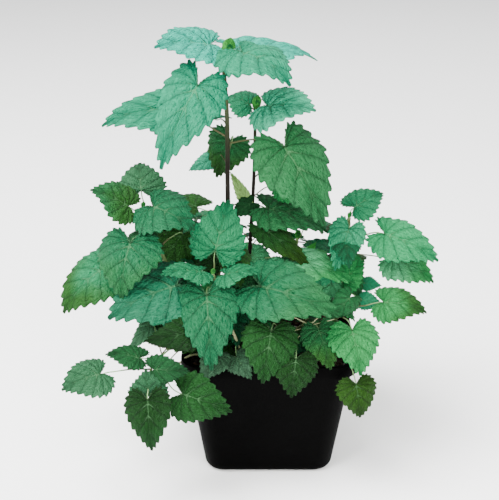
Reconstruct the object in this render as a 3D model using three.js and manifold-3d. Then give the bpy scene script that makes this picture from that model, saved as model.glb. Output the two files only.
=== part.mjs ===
// A young catmint plant in a small square nursery pot. Millimetres, +Z up.
// The origin is the centre of the pot's underside, and -Y is the front.

import * as THREE from 'three';
import { mergeVertices } from 'three/addons/utils/BufferGeometryUtils.js';
import Module from 'manifold-3d';

const wasm = await Module();
wasm.setup();

// ---- driving dimensions ----

const POT_HEIGHT = 74;
const POT_TOP_HALF = 47.4; // half the width of the wall at the top, under the rim band
const POT_FOOT_HALF = 35;
const FOOT_ROUND = 3; // how far the bottom edge is rounded in
const RIM_HALF = 49;
const RIM_DEPTH = 7;
const RIM_TAPER = 0.6; // how much narrower the band is at its lower edge
const CORNER_SHARE = 0.27; // corner radius as a share of the half width
const CORNER_STEPS = 4;
const WALL = 1.4;
const FLOOR = 2;
const DRAIN_RADIUS = 3.5;
const DRAIN_SIDES = 12;
const DRAIN_OFFSET = 17; // each way from the centre
const OVERCUT = 1; // how far a cutting body runs past what it cuts
const SOIL_TOP = 64;
const GAP = 0.3; // between pieces that meet
const POCKET_GAP = 0.45; // round a stem in the soil
const STEM_STEP = 14; // length of stem for each step of its path
const STEM_SAMPLES = 200; // places tried on a stem to find a height
const HEIGHT_WEIGHT = 10; // how much a height outweighs nearness to the blade
const STALK_HALF = 0.9; // half the thickness of a leaf stalk
const STALK_STEPS = 3;
const STALK_BEND = 0.4; // how much of a stalk's length lies in line with its blade
const BLADE_HALF = 0.5; // half the thickness of a blade at its midrib
const EDGE_DROP = 0.16; // how far the blade's edges hang below its midrib, by half width

// ---- materials ----

function material(color, roughness) {
  return new THREE.MeshStandardMaterial({ color, roughness, metalness: 0 });
}

const POT_COLOR = 0x0b0b0c;
const SOIL_COLOR = 0x2c2119;
const LEAF_COLOR = 0x3f8f5f;

// ---- solids cut and joined with manifold ----

function toSolid(geometry) {
  const bare = geometry.clone();
  bare.deleteAttribute('normal');
  bare.deleteAttribute('uv');
  const merged = mergeVertices(bare, 1e-4);
  return new wasm.Manifold(new wasm.Mesh({
    numProp: 3,
    vertProperties: new Float32Array(merged.attributes.position.array),
    triVerts: new Uint32Array(merged.index.array),
  }));
}

function toGeometry(solid) {
  const mesh = solid.getMesh();
  const geometry = new THREE.BufferGeometry();
  geometry.setAttribute('position', new THREE.Float32BufferAttribute(mesh.vertProperties, 3));
  geometry.setIndex(new THREE.Uint32BufferAttribute(mesh.triVerts, 1));
  geometry.computeVertexNormals();
  return geometry;
}

// ---- pot and soil ----

// A square of half width 1 with round corners.
function roundedSquare() {
  const inner = 1 - CORNER_SHARE;
  const shape = new THREE.Shape();
  shape.moveTo(-inner, -1);
  shape.lineTo(inner, -1);
  shape.absarc(inner, -inner, CORNER_SHARE, -Math.PI / 2, 0);
  shape.lineTo(1, inner);
  shape.absarc(inner, inner, CORNER_SHARE, 0, Math.PI / 2);
  shape.lineTo(-inner, 1);
  shape.absarc(-inner, inner, CORNER_SHARE, Math.PI / 2, Math.PI);
  shape.lineTo(-1, -inner);
  shape.absarc(-inner, -inner, CORNER_SHARE, Math.PI, Math.PI * 1.5);
  return shape;
}

// An upright square body through stations of [height, half width].
function squareBody(stations) {
  const geometry = new THREE.ExtrudeGeometry(roundedSquare(), {
    depth: stations.length - 1,
    steps: stations.length - 1,
    curveSegments: CORNER_STEPS,
    bevelEnabled: false,
  });
  const position = geometry.attributes.position;
  for (let i = 0; i < position.count; i += 1) {
    const [height, half] = stations[Math.round(position.getZ(i))];
    position.setXYZ(i, position.getX(i) * half, position.getY(i) * half, height);
  }
  return geometry;
}

// Half width of the wall's outer face at a height.
function wallHalf(height) {
  return POT_FOOT_HALF + (POT_TOP_HALF - POT_FOOT_HALF) * (height / POT_HEIGHT);
}

function makePot() {
  const outside = squareBody([
    [0, POT_FOOT_HALF - FOOT_ROUND],
    [FOOT_ROUND / 3, wallHalf(0) - FOOT_ROUND / 3],
    [FOOT_ROUND, wallHalf(FOOT_ROUND)],
    [POT_HEIGHT, wallHalf(POT_HEIGHT)],
  ]);
  const band = squareBody([
    [POT_HEIGHT - RIM_DEPTH, RIM_HALF - RIM_TAPER],
    [POT_HEIGHT, RIM_HALF],
  ]);
  const inside = squareBody([
    [FLOOR, wallHalf(FLOOR) - WALL],
    [POT_HEIGHT + OVERCUT, wallHalf(POT_HEIGHT + OVERCUT) - WALL],
  ]);
  let pot = toSolid(outside).add(toSolid(band)).subtract(toSolid(inside));
  for (const x of [-DRAIN_OFFSET, DRAIN_OFFSET]) {
    for (const y of [-DRAIN_OFFSET, DRAIN_OFFSET]) {
      const depth = (FLOOR + OVERCUT) * 2;
      const drain = new THREE.CylinderGeometry(DRAIN_RADIUS, DRAIN_RADIUS, depth, DRAIN_SIDES);
      drain.rotateX(Math.PI / 2);
      drain.translate(x, y, 0);
      pot = pot.subtract(toSolid(drain));
    }
  }
  return toGeometry(pot);
}

function makeSoil(pockets) {
  const base = FLOOR + GAP;
  const body = squareBody([
    [base, wallHalf(base) - WALL - GAP],
    [SOIL_TOP, wallHalf(SOIL_TOP) - WALL - GAP],
  ]);
  let soil = toSolid(body);
  for (const pocket of pockets) {
    soil = soil.subtract(toSolid(pocket));
  }
  return toGeometry(soil);
}

// ---- stems ----

function vector(point) {
  return new THREE.Vector3(...point);
}

function stemCurve(shoot) {
  return new THREE.CatmullRomCurve3(shoot.path.map(vector), false, 'centripetal');
}

// A stem of square section, as this family of plants has.
function stemGeometry(shoot, margin) {
  const half = shoot.thickness / 2 + margin;
  const section = new THREE.Shape();
  section.moveTo(-half, -half);
  section.lineTo(half, -half);
  section.lineTo(half, half);
  section.lineTo(-half, half);
  section.closePath();
  const curve = stemCurve(shoot);
  return new THREE.ExtrudeGeometry(section, {
    extrudePath: curve,
    steps: Math.ceil(curve.getLength() / STEM_STEP),
    bevelEnabled: false,
  });
}

// The pocket that a stem stands in: a fatter and slightly deeper copy of the stem.
function pocketGeometry(shoot) {
  const [[x, y, z], ...rest] = shoot.path;
  return stemGeometry({ ...shoot, path: [[x, y, z - GAP], ...rest] }, POCKET_GAP);
}

// Where a stalk leaves its stem: the stem's point at a height, or the one nearest to the blade
// where the stem passes that height twice, moved out by a distance across the stem.
function jointOnStem(curve, height, base, distance) {
  const score = (share) => {
    const point = curve.getPointAt(share);
    return Math.abs(point.z - height) * HEIGHT_WEIGHT + point.distanceTo(base);
  };
  let best = 0;
  for (let i = 1; i <= STEM_SAMPLES; i += 1) {
    if (score(i / STEM_SAMPLES) < score(best)) {
      best = i / STEM_SAMPLES;
    }
  }
  const point = curve.getPointAt(best);
  const along = curve.getTangentAt(best);
  const outward = base.clone().sub(point);
  outward.addScaledVector(along, -outward.dot(along)).normalize();
  return point.addScaledVector(outward, distance);
}

// ---- leaves ----

// Stations of a heart-shaped blade, from its stalk to its tip: place of the
// midrib, place of the edges, and half width, as shares of length and width.
const BLADE = [
  [0.05, -0.15, 0.27],
  [0.14, -0.03, 0.45],
  [0.28, 0.18, 0.5],
  [0.46, 0.42, 0.43],
  [0.65, 0.64, 0.31],
  [0.84, 0.84, 0.15],
];

// One ring of four corners: left edge, top, right edge, bottom.
function ring(middle, left, right, up, half) {
  return [left, middle.clone().addScaledVector(up, half), right, middle.clone().addScaledVector(up, -half)];
}

// A closed skin over rings of four corners, with a flat end and a pointed tip.
function skin(rings, tip) {
  const points = rings.flat();
  points.push(tip);
  const last = points.length - 1;
  const index = [0, 2, 1, 0, 3, 2];
  for (let r = 0; r < rings.length; r += 1) {
    for (let c = 0; c < 4; c += 1) {
      const d = (c + 1) % 4;
      const here = r * 4;
      const next = here + 4;
      if (r < rings.length - 1) {
        index.push(here + c, next + d, next + c, here + c, here + d, next + d);
      } else {
        index.push(here + c, here + d, last);
      }
    }
  }
  const geometry = new THREE.BufferGeometry().setFromPoints(points);
  geometry.setIndex(index);
  geometry.computeVertexNormals();
  return geometry;
}

// A leaf from its stem to its tip: a round-backed stalk, then an arched blade.
function leafGeometry(leaf, shoot, curve) {
  const base = vector(leaf.base);
  const tip = vector(leaf.tip);
  const length = base.distanceTo(tip);
  const face = vector(leaf.face).normalize();
  const middleOfBlade = base.clone().lerp(tip, 0.5);
  const crown = middleOfBlade.addScaledVector(face, leaf.arch * 2);
  const midrib = new THREE.QuadraticBezierCurve3(base, crown, tip);
  const clear = shoot.thickness * Math.SQRT1_2 + GAP + STALK_HALF;
  const start = jointOnStem(curve, leaf.at, base, clear);
  const reach = start.distanceTo(base);
  const bend = base.clone().addScaledVector(midrib.getTangent(0), -reach * STALK_BEND);
  const stalk = new THREE.QuadraticBezierCurve3(start, bend, base);

  const rings = [];
  for (let i = 0; i <= STALK_STEPS; i += 1) {
    const along = stalk.getTangent(i / STALK_STEPS);
    const middle = stalk.getPoint(i / STALK_STEPS);
    const side = along.clone().cross(face).normalize();
    const up = side.clone().cross(along).normalize();
    const left = middle.clone().addScaledVector(side, -STALK_HALF);
    const right = middle.clone().addScaledVector(side, STALK_HALF);
    rings.push(ring(middle, left, right, up, STALK_HALF));
  }
  for (const [mid, edge, halfWidth] of BLADE) {
    const along = midrib.getTangent(mid);
    const middle = midrib.getPoint(mid);
    const side = along.clone().cross(face).normalize();
    const up = side.clone().cross(along).normalize();
    const reachOut = halfWidth * leaf.width;
    const foot = middle.clone().addScaledVector(along, (edge - mid) * length);
    foot.addScaledVector(up, -EDGE_DROP * reachOut);
    const left = foot.clone().addScaledVector(side, -reachOut);
    const right = foot.clone().addScaledVector(side, reachOut);
    rings.push(ring(middle, left, right, up, BLADE_HALF));
  }
  return skin(rings, tip);
}

// ---- shoots ----

// Each shoot has the path of its stem, from its foot in the soil to its top,
// and its leaves: the height at which each joins the stem, the place where its
// blade begins, its tip, its width, how far its blade is arched, and the way
// that its upper side faces.
const SHOOTS = [
  {
    name: 'tall',
    thickness: 2.8,
    color: 0x5b3f3c,
    path: [[-20, -2, 49], [-20, -2, 66], [-22, -4, 110], [-23, -6, 160], [-23, -6, 200], [-25, -6, 236]],
    leaves: [
      { at: 234, base: [-30, -5, 239], tip: [-59, -18, 241], width: 34, arch: 3, face: [0, -6, 10] },
      { at: 232, base: [-15, -13, 235], tip: [9, -36, 225], width: 34, arch: 5, face: [2, -6, 10] },
      { at: 228, base: [-16, 4, 230], tip: [24, 24, 228], width: 30, arch: 4, face: [0, -2, 10] },
      { at: 226, base: [-33, -20, 228], tip: [-56, -46, 185], width: 38, arch: 5, face: [-1, -8, 6] },
      { at: 205, base: [-46, -8, 212], tip: [-91, -12, 198], width: 37, arch: 4, face: [0, -8, 10] },
      { at: 196, base: [6, -16, 191], tip: [27, -34, 150], width: 43, arch: 5, face: [2, -8, 6] },
      { at: 182, base: [-21, 8, 187], tip: [-30, 14, 162], width: 26, arch: 3, face: [0, -8, 6] },
    ],
  },
  {
    name: 'second',
    thickness: 2.2,
    color: 0x6d5a4c,
    path: [[-8, 4, 49], [-8, 4, 66], [-11, 6, 110], [-9, 8, 154], [-8, 8, 185], [-8, 8, 205]],
    leaves: [
      { at: 203, base: [-3, 4, 206], tip: [20, -16, 204], width: 28, arch: 4, face: [1, -8, 8] },
      { at: 203, base: [-12, 13, 206], tip: [-26, 30, 205], width: 22, arch: 3, face: [0, -6, 9] },
      { at: 153, base: [-40, 14, 144], tip: [-58, 34, 143], width: 22, arch: 2, face: [0, -5, 10] },
      { at: 147, base: [-3, 2, 151], tip: [34, -2, 136], width: 30, arch: 4, face: [0, -4, 10] },
      { at: 141, base: [-1, -9, 143], tip: [17, -22, 122], width: 28, arch: 3, face: [2, -7, 6] },
      { at: 116, base: [6, -8, 122], tip: [48, -16, 110], width: 28, arch: 4, face: [0, -5, 10] },
    ],
  },
  {
    name: 'centre',
    thickness: 2.6,
    color: 0x79905a,
    path: [[-16, -12, 49], [-16, -12, 66], [-24, -22, 96], [-31, -30, 121]],
    leaves: [
      { at: 120, base: [-30, -26, 131], tip: [-22, -10, 161], width: 31, arch: 4, face: [0, -9, 5] },
      { at: 116, base: [-36, -32, 123], tip: [-58, -44, 127], width: 20, arch: 2, face: [0, -3, 10] },
      { at: 116, base: [-25, -34, 122], tip: [-5, -42, 127], width: 20, arch: 2, face: [0, -3, 10] },
      { at: 112, base: [-34, -38, 115], tip: [-31, -62, 79], width: 33, arch: 4, face: [0, -9, 5] },
      { at: 104, base: [-48, -28, 111], tip: [-87, -46, 101], width: 36, arch: 5, face: [-2, -7, 8] },
      { at: 100, base: [-7, -34, 112], tip: [36, -56, 108], width: 42, arch: 5, face: [2, -8, 8] },
    ],
  },
  {
    name: 'left',
    thickness: 2.4,
    color: 0x79905a,
    path: [[-32, -4, 49], [-32, -4, 66], [-52, -6, 104], [-64, -7, 134], [-70, -6, 151]],
    leaves: [
      { at: 150, base: [-71, -1, 158], tip: [-73, 14, 172], width: 28, arch: 3, face: [0, -8, 6] },
      { at: 148, base: [-76, -12, 153], tip: [-97, -17, 165], width: 25, arch: 3, face: [0, -6, 8] },
      { at: 149, base: [-65, -12, 151], tip: [-44, -30, 146], width: 29, arch: 3, face: [0, -7, 9] },
      { at: 134, base: [-75, -22, 136], tip: [-80, -42, 111], width: 33, arch: 4, face: [-2, -8, 6] },
      { at: 124, base: [-90, -14, 120], tip: [-115, -26, 96], width: 33, arch: 4, face: [-4, -7, 7] },
    ],
  },
  {
    name: 'low_left',
    thickness: 1.8,
    color: 0x9caf78,
    path: [[-32, -16, 49], [-32, -16, 66], [-44, -32, 82], [-56, -50, 84], [-64, -64, 79]],
    leaves: [
      { at: 80, base: [-86, -63, 79], tip: [-109, -74, 75], width: 25, arch: 3, face: [-2, -7, 8] },
      { at: 83, base: [-68, -58, 86], tip: [-88, -56, 88], width: 17, arch: 2, face: [0, -4, 10] },
      { at: 82, base: [-56, -38, 92], tip: [-50, -28, 101], width: 22, arch: 2, face: [0, -8, 6] },
      { at: 79, base: [-64, -75, 69], tip: [-62, -83, 43], width: 25, arch: 3, face: [0, -9, 3] },
      { at: 82, base: [-48, -66, 68], tip: [-20, -70, 59], width: 27, arch: 3, face: [1, -8, 5] },
    ],
  },
  {
    name: 'right',
    thickness: 2.4,
    color: 0x79905a,
    path: [[16, 2, 49], [16, 2, 66], [32, 0, 100], [41, 0, 125], [45, 0, 143]],
    leaves: [
      { at: 142, base: [45, -4, 139], tip: [37, -18, 123], width: 21, arch: 3, face: [0, -8, 6] },
      { at: 142, base: [47, 4, 147], tip: [66, 16, 153], width: 22, arch: 2, face: [0, -6, 9] },
      { at: 124, base: [63, 0, 134], tip: [96, -8, 120], width: 30, arch: 4, face: [2, -8, 7] },
      { at: 122, base: [68, 8, 116], tip: [93, 2, 104], width: 24, arch: 3, face: [2, -5, 8] },
      { at: 104, base: [41, -10, 108], tip: [54, -6, 120], width: 18, arch: 2, face: [0, -8, 6] },
    ],
  },
  {
    name: 'low_right',
    thickness: 2,
    color: 0x8d9a6a,
    path: [[22, -12, 49], [22, -12, 66], [35, -20, 88], [48, -20, 99]],
    leaves: [
      { at: 98, base: [62, -20, 100], tip: [88, -26, 97], width: 25, arch: 3, face: [1, -6, 9] },
      { at: 92, base: [44, -42, 95], tip: [48, -62, 76], width: 28, arch: 3, face: [1, -9, 4] },
      { at: 84, base: [46, -55, 69], tip: [49, -60, 49], width: 22, arch: 2, face: [1, -9, 3] },
    ],
  },
  {
    name: 'front',
    thickness: 2,
    color: 0x9caf78,
    path: [[4, -16, 49], [4, -16, 66], [6, -22, 74], [8, -28, 86]],
    leaves: [
      { at: 85, base: [1, -45, 96], tip: [-4, -62, 71], width: 31, arch: 3, face: [0, -9, 4] },
      { at: 80, base: [14, -53, 83], tip: [11, -66, 65], width: 25, arch: 2, face: [0, -9, 4] },
      { at: 84, base: [26, -39, 94], tip: [33, -54, 75], width: 22, arch: 3, face: [1, -9, 4] },
    ],
  },
  {
    name: 'back_left',
    thickness: 2.4,
    color: 0x79905a,
    path: [[-22, 16, 49], [-22, 16, 66], [-30, 28, 96], [-36, 38, 122]],
    leaves: [
      { at: 121, base: [-38, 45, 126], tip: [-46, 82, 112], width: 34, arch: 5, face: [0, 4, 10] },
      { at: 120, base: [-44, 40, 123], tip: [-80, 54, 116], width: 32, arch: 4, face: [-2, 1, 10] },
      { at: 100, base: [-48, 26, 100], tip: [-84, 24, 90], width: 30, arch: 4, face: [-3, 0, 10] },
      { at: 96, base: [-26, 46, 98], tip: [-18, 78, 78], width: 32, arch: 4, face: [0, 5, 8] },
    ],
  },
  {
    name: 'back_right',
    thickness: 2.4,
    color: 0x79905a,
    path: [[6, 16, 49], [6, 16, 66], [14, 30, 92], [18, 40, 116]],
    leaves: [
      { at: 115, base: [22, 47, 119], tip: [36, 80, 106], width: 34, arch: 5, face: [0, 4, 10] },
      { at: 114, base: [27, 38, 117], tip: [62, 40, 112], width: 30, arch: 4, face: [2, 1, 10] },
      { at: 96, base: [28, 30, 96], tip: [64, 34, 84], width: 30, arch: 4, face: [3, 1, 10] },
      { at: 92, base: [10, 46, 96], tip: [8, 80, 84], width: 28, arch: 4, face: [0, 4, 9] },
    ],
  },
];

// ---- assembly ----

function addPiece(group, name, geometry, finish) {
  const mesh = new THREE.Mesh(geometry, finish);
  mesh.name = name;
  group.add(mesh);
}

const plant = new THREE.Group();
addPiece(plant, 'pot', makePot(), material(POT_COLOR, 0.5));
addPiece(plant, 'soil', makeSoil(SHOOTS.map(pocketGeometry)), material(SOIL_COLOR, 0.95));
for (const shoot of SHOOTS) {
  const curve = stemCurve(shoot);
  addPiece(plant, `${shoot.name}_stem`, stemGeometry(shoot, 0), material(shoot.color, 0.6));
  shoot.leaves.forEach((leaf, i) => {
    const geometry = leafGeometry(leaf, shoot, curve);
    addPiece(plant, `${shoot.name}_leaf_${i + 1}`, geometry, material(LEAF_COLOR, 0.75));
  });
}

export default plant;
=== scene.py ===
import math
import random

import bmesh
import bpy
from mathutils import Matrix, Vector, noise


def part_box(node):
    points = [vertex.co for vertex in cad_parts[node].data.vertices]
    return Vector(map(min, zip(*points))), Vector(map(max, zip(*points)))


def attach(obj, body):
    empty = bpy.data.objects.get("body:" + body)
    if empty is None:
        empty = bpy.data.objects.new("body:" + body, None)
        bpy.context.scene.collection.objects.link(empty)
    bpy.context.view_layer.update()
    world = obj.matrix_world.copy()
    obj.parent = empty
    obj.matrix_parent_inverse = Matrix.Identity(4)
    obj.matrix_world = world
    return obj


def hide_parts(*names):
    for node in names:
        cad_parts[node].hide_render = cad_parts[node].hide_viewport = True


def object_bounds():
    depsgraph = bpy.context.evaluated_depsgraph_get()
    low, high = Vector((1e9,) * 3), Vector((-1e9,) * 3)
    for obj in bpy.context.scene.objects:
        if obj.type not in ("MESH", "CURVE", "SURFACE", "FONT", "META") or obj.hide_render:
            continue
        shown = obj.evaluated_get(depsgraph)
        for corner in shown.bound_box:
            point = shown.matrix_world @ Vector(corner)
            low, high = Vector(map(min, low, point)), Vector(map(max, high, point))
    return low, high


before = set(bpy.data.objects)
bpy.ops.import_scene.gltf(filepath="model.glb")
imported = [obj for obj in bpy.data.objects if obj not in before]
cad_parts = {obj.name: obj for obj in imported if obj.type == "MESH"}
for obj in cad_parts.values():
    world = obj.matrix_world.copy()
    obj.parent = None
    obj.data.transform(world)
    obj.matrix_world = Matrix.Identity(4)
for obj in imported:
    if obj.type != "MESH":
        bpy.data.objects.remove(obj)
cad_low, cad_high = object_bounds()

# ---- camera ----
# It looks down a little on the plant from its front, with a long lens, and
# holds the whole plant with a narrow margin.
camera_pitch = math.radians(21)
camera_distance = 0.6
view_width = 0.284  # how wide the picture is at the plant's middle
sensor_width = 36
plant_middle = -0.011  # the plant leans and spreads a little to the left of its pot

target = Vector((plant_middle, 0, cad_high.z / 2))
back = Vector((0, -math.cos(camera_pitch), math.sin(camera_pitch)))
camera_place = target + back * camera_distance
bpy.ops.object.camera_add(location=camera_place, rotation=(math.pi / 2 - camera_pitch, 0, 0))
camera = bpy.context.object
camera.data.sensor_width = sensor_width
camera.data.lens = sensor_width * camera_distance / view_width
bpy.context.scene.camera = camera


# ---- pot ----
# A thin square nursery pot, moulded in one piece from black plastic, with round
# corners, a rim band turned down outside, and four drain holes in its floor.


class Link:
    """A shader node's output. Sums written with Python's operators add Math nodes."""

    def __init__(self, finish, socket):
        self.finish = finish
        self.socket = socket

    def math(self, operation, first, second=0.0):
        return self.finish.node("Math", {"operation": operation}, {0: first, 1: second})

    def __add__(self, other):
        return self.math("ADD", self, other)

    def __sub__(self, other):
        return self.math("SUBTRACT", self, other)

    def __mul__(self, other):
        return self.math("MULTIPLY", self, other)

    def __rsub__(self, other):
        return self.math("SUBTRACT", other, self)

    __radd__ = __add__


class Finish:
    """A material being built: its nodes, and the Principled shader that ends it."""

    def __init__(self, name, constants):
        self.material = bpy.data.materials.new(name)
        self.material.use_nodes = True
        self.tree = self.material.node_tree
        self.shader = self.tree.nodes["Principled BSDF"]
        for socket, value in constants.items():
            self.shader.inputs[socket].default_value = value

    def feed(self, socket, value):
        if isinstance(value, Link):
            self.tree.links.new(value.socket, socket)
        else:
            socket.default_value = value

    def node(self, kind, settings, sockets, output=0):
        made = self.tree.nodes.new("ShaderNode" + kind)
        for name, value in settings.items():
            setattr(made, name, value)
        for name, value in sockets.items():
            self.feed(made.inputs[name], value)
        return Link(self, made.outputs[output])

    def mix(self, factor, first, second):
        return self.node("Mix", {"data_type": "RGBA"}, {0: factor, 6: first, 7: second}, 2)

    def step(self, value, start, end):
        """0 below start and 1 above end, with a soft step between them."""
        limits = {"Value": value, "From Min": start, "From Max": end}
        return self.node("MapRange", {"interpolation_type": "SMOOTHSTEP"}, limits)

    def place(self):
        return self.node("TexCoord", {}, {}, "Object")

    def noise(self, place, scale, detail=2.0):
        return self.node("TexNoise", {}, {"Vector": place, "Scale": scale, "Detail": detail})

    def colour(self, value):
        self.feed(self.shader.inputs["Base Color"], value)

    def roughness(self, value):
        self.feed(self.shader.inputs["Roughness"], value)

    def bump(self, height, distance, strength=1.0):
        bumps = {"Height": height, "Distance": distance, "Strength": strength}
        self.feed(self.shader.inputs["Normal"], self.node("Bump", {}, bumps))


def linear(red, green, blue):
    """A colour given as it looks on a screen, from 0 to 255, for a shader."""
    shares = [part / 255 for part in (red, green, blue)]
    return tuple(s / 12.92 if s < 0.04 else ((s + 0.055) / 1.055) ** 2.4 for s in shares) + (1,)


def start_piece(name):
    """Names the primitive that was just added and gives it."""
    piece = bpy.context.object
    piece.name = name
    piece.data.name = name
    return piece


def finish_piece(piece, finishes, replaced=()):
    """Gives a finished mesh its materials and its body, and hides the CAD nodes that it stands for."""
    piece.data.materials.clear()
    for finish in finishes:
        piece.data.materials.append(finish.material)
    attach(piece, "root")
    if replaced:
        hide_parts(*replaced)


def select_in_mesh(piece, wanted, kind="verts"):
    """Selects the vertices, edges or faces of the piece in edit mode that wanted() accepts."""
    mesh = bmesh.from_edit_mesh(piece.data)
    for part in list(mesh.verts) + list(mesh.edges) + list(mesh.faces):
        part.select_set(False)
    for part in getattr(mesh, kind):
        part.select_set(wanted(part))
    mesh.select_flush_mode()
    bmesh.update_edit_mesh(piece.data)


pot_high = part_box("pot")[1]
pot_height = pot_high.z
rim_half = pot_high.x
rim_depth = 0.007
pot_wall = 0.0013
wall_top_half = rim_half - pot_wall * 2  # of the wall's inside: the wall thickens outward
wall_taper = 0.0114  # how much narrower the wall is at the foot, each side
foot_half = wall_top_half - wall_taper
pick_reach = 0.001  # how far from a level its vertices are looked for
corner_share = 0.27
foot_round = 0.003
drain_radius = 0.0035
drain_offset = 0.017
edge_round = 0.0004

bpy.ops.object.select_all(action="DESELECT")
bpy.ops.mesh.primitive_cube_add(
    size=1, location=(0, 0, (pot_height + pot_wall) / 2),
    scale=(wall_top_half * 2, wall_top_half * 2, pot_height - pot_wall)
)
pot = start_piece("nursery_pot")
bpy.ops.object.transform_apply(location=True, rotation=False, scale=True)
bpy.ops.object.mode_set(mode="EDIT")
bpy.ops.mesh.select_mode(type="FACE")
select_in_mesh(pot, lambda face: face.normal.z > 0.5, "faces")
bpy.ops.mesh.delete(type="ONLY_FACE")
bpy.ops.mesh.select_mode(type="EDGE")
select_in_mesh(pot, lambda edge: abs(edge.verts[0].co.z - edge.verts[1].co.z) > 0.01, "edges")
bpy.ops.mesh.bevel(offset=wall_top_half * corner_share, segments=10, affect="EDGES")
bpy.ops.mesh.select_mode(type="VERT")
select_in_mesh(pot, lambda vert: vert.co.z < pot_wall + pick_reach)
foot_scale = foot_half / wall_top_half
bpy.ops.transform.resize(value=(foot_scale, foot_scale, 1))
bpy.ops.mesh.select_mode(type="EDGE")
select_in_mesh(pot, lambda edge: max(vert.co.z for vert in edge.verts) < pot_wall + pick_reach, "edges")
bpy.ops.mesh.bevel(offset=foot_round, segments=5, affect="EDGES")
bpy.ops.mesh.select_mode(type="VERT")
select_in_mesh(pot, lambda vert: vert.co.z > pot_height - pick_reach)
bpy.ops.mesh.extrude_region_move()
rim_scale = rim_half / wall_top_half
bpy.ops.transform.resize(value=(rim_scale, rim_scale, 1))
bpy.ops.mesh.extrude_region_move(TRANSFORM_OT_translate={"value": (0, 0, -rim_depth)})
bpy.ops.mesh.select_all(action="SELECT")
bpy.ops.mesh.normals_make_consistent(inside=False)
bpy.ops.object.mode_set(mode="OBJECT")

wall = pot.modifiers.new("wall", "SOLIDIFY")
wall.thickness = pot_wall
wall.offset = -1
bpy.ops.object.modifier_apply(modifier="wall")
bevel = pot.modifiers.new("soft edges", "BEVEL")
bevel.width = edge_round
bevel.segments = 2
bevel.limit_method = "ANGLE"
bpy.ops.object.modifier_apply(modifier="soft edges")

for side_x in (-1, 1):
    for side_y in (-1, 1):
        bpy.ops.object.select_all(action="DESELECT")
        bpy.ops.mesh.primitive_cylinder_add(
            vertices=24, radius=drain_radius, depth=pot_wall * 6,
            location=(side_x * drain_offset, side_y * drain_offset, 0)
        )
        drill = start_piece("drill")
        bpy.ops.object.select_all(action="DESELECT")
        bpy.context.view_layer.objects.active = pot
        pot.select_set(True)
        drain = pot.modifiers.new("drain", "BOOLEAN")
        drain.operation = "DIFFERENCE"
        drain.object = drill
        bpy.ops.object.modifier_apply(modifier="drain")
        bpy.data.objects.remove(drill)
bpy.ops.object.shade_smooth_by_angle(angle=math.radians(40))

black_plastic = Finish("black_plastic", {"Specular IOR Level": 0.012})
place = black_plastic.place()
cloudy = black_plastic.noise(place, 60.0, 4.0)
grain = black_plastic.noise(place, 1400.0, 2.0)
black_plastic.colour(black_plastic.mix(cloudy, linear(0, 0, 0), linear(3, 3, 3)))
black_plastic.roughness(0.42 + cloudy * 0.22)
black_plastic.bump(grain, 0.00012, 0.6)
finish_piece(pot, [black_plastic], ["pot"])


# ---- soil ----
# Dark potting mix, level and loose, a little below the rim: a lumpy surface with
# crumbs of bark and peat pressed into it, and white grains of perlite.

soil_low, soil_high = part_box("soil")
soil_half = soil_high.x + 0.0006  # up against the wall
soil_top = soil_high.z
soil_cells = 70
soil_lift = 0.0012  # of its underside, so that it clears the pot's floor
lump_drop = 0.0006  # how far the mean surface lies under the plain top
corner_start = soil_half * (1 - corner_share)


def on_rounded_square(x, y):
    """Moves a point of a square into the same square with round corners."""
    over_x = max(0.0, abs(x) - corner_start)
    over_y = max(0.0, abs(y) - corner_start)
    far = math.hypot(over_x, over_y)
    if far == 0.0:
        return x, y
    share = max(over_x, over_y) / far
    new_x = min(abs(x), corner_start) + over_x * share
    new_y = min(abs(y), corner_start) + over_y * share
    return math.copysign(new_x, x), math.copysign(new_y, y)


def soil_height(x, y):
    """Height of the lumpy surface."""
    lumps = noise.noise(Vector((x, y, 0)) * 160) * 0.0011
    fine = noise.noise(Vector((x, y, 7)) * 520) * 0.0006
    return soil_top - lump_drop + lumps + fine


bpy.ops.object.select_all(action="DESELECT")
bpy.ops.mesh.primitive_grid_add(
    x_subdivisions=soil_cells, y_subdivisions=soil_cells, size=soil_half * 2, location=(0, 0, soil_top)
)
soil = start_piece("potting_soil")
bpy.ops.object.transform_apply(location=True, rotation=False, scale=True)
for vert in soil.data.vertices:
    x, y = on_rounded_square(vert.co.x, vert.co.y)
    vert.co = Vector((x, y, soil_height(x, y)))
bpy.ops.object.mode_set(mode="EDIT")
bpy.ops.mesh.select_all(action="SELECT")
bpy.ops.mesh.region_to_loop()
bpy.ops.mesh.extrude_region_move(TRANSFORM_OT_translate={"value": (0, 0, soil_low.z - soil_top + soil_lift)})
bpy.ops.transform.resize(value=(foot_scale, foot_scale, 1))
bpy.ops.mesh.edge_face_add()
bpy.ops.mesh.select_all(action="SELECT")
bpy.ops.mesh.normals_make_consistent(inside=False)
bpy.ops.object.mode_set(mode="OBJECT")
bpy.ops.object.shade_smooth()

dark_mix = Finish("dark_mix", {"Specular IOR Level": 0.25, "Roughness": 0.95})
place = dark_mix.place()
lumps = dark_mix.noise(place, 420.0, 6.0)
damp = dark_mix.noise(place, 40.0, 2.0)
dry_brown = dark_mix.mix(lumps, linear(18, 13, 10), linear(66, 48, 34))
dark_mix.colour(dark_mix.mix(damp, dry_brown, linear(24, 18, 13)))
dark_mix.bump(lumps, 0.0016)
finish_piece(soil, [dark_mix], ["soil"])


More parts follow.
